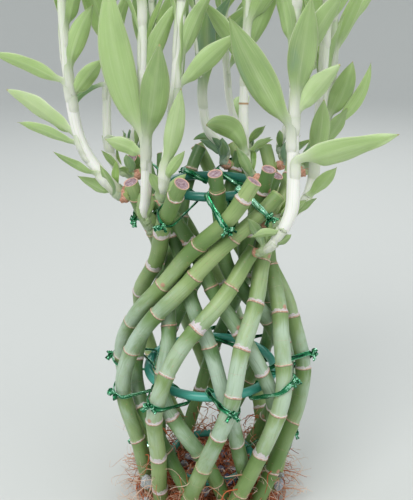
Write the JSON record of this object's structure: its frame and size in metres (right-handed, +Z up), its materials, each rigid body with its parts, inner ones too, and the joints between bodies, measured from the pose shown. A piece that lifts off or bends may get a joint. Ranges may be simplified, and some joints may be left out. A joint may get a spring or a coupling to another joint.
{
  "type": "lucky bamboo",
  "caption": "Lucky bamboo woven into an open vase shape: crossing canes tied to hoops, with leafy shoots from the cut tops, standing on its own matted roots.",
  "frame": {"origin": "middle of the flat underside of the root mat, on the axis of the cage", "axes": "+Z up along the cage's axis, -Y towards the front seen in the picture, +X to the picture's right"},
  "size_m": [0.2827, 0.2243, 0.4912],
  "materials": {
    "outer_cane": "waxy yellow-green living cane with pale node rings and mauve cut ends",
    "inner_cane": "darker waxy green living cane with pale node rings",
    "shoot": "pale stem and soft light green leaves with thin cream edges",
    "root": "dry orange-brown fibrous roots with pale tips",
    "hoop_plastic": "glossy teal plastic tube",
    "tie_foil": "crinkled emerald metallic foil over wire",
    "chip_glass": "broken clear and grey-violet glass chips"
  },
  "bodies": {
    "root": {"hoop_bottom": "hoop_plastic", "hoop_middle": "hoop_plastic", "hoop_top": "hoop_plastic", "cane_outer_01": "outer_cane", "cane_outer_02": "outer_cane", "cane_outer_03": "outer_cane", "cane_outer_04": "outer_cane", "cane_outer_05": "outer_cane", "cane_outer_06": "outer_cane", "cane_outer_07": "outer_cane", "cane_outer_08": "outer_cane", "cane_outer_09": "outer_cane", "cane_outer_10": "outer_cane", "cane_inner_01": "inner_cane", "cane_inner_02": "inner_cane", "cane_inner_03": "inner_cane", "cane_inner_04": "inner_cane", "cane_inner_05": "inner_cane", "cane_inner_06": "inner_cane", "cane_inner_07": "inner_cane", "cane_inner_08": "inner_cane", "tie_middle_01": "tie_foil", "tie_middle_02": "tie_foil", "tie_middle_03": "tie_foil", "tie_middle_04": "tie_foil", "tie_middle_05": "tie_foil", "tie_middle_06": "tie_foil", "tie_middle_07": "tie_foil", "tie_middle_08": "tie_foil", "tie_top_01": "tie_foil", "tie_top_02": "tie_foil", "tie_top_03": "tie_foil", "tie_top_04": "tie_foil", "tie_top_05": "tie_foil", "tie_top_06": "tie_foil", "tie_bottom_01": "tie_foil", "tie_bottom_02": "tie_foil", "root_mass": "root", "glass_chips": "chip_glass", "shoot_01": "shoot", "shoot_02": "shoot", "shoot_03": "shoot", "shoot_04": "shoot", "shoot_05": "shoot", "shoot_06": "shoot", "shoot_07": "shoot", "shoot_08": "shoot", "shoot_09": "shoot", "shoot_10": "shoot", "shoot_11": "shoot", "shoot_12": "shoot"}
  },
  "joints": []
}
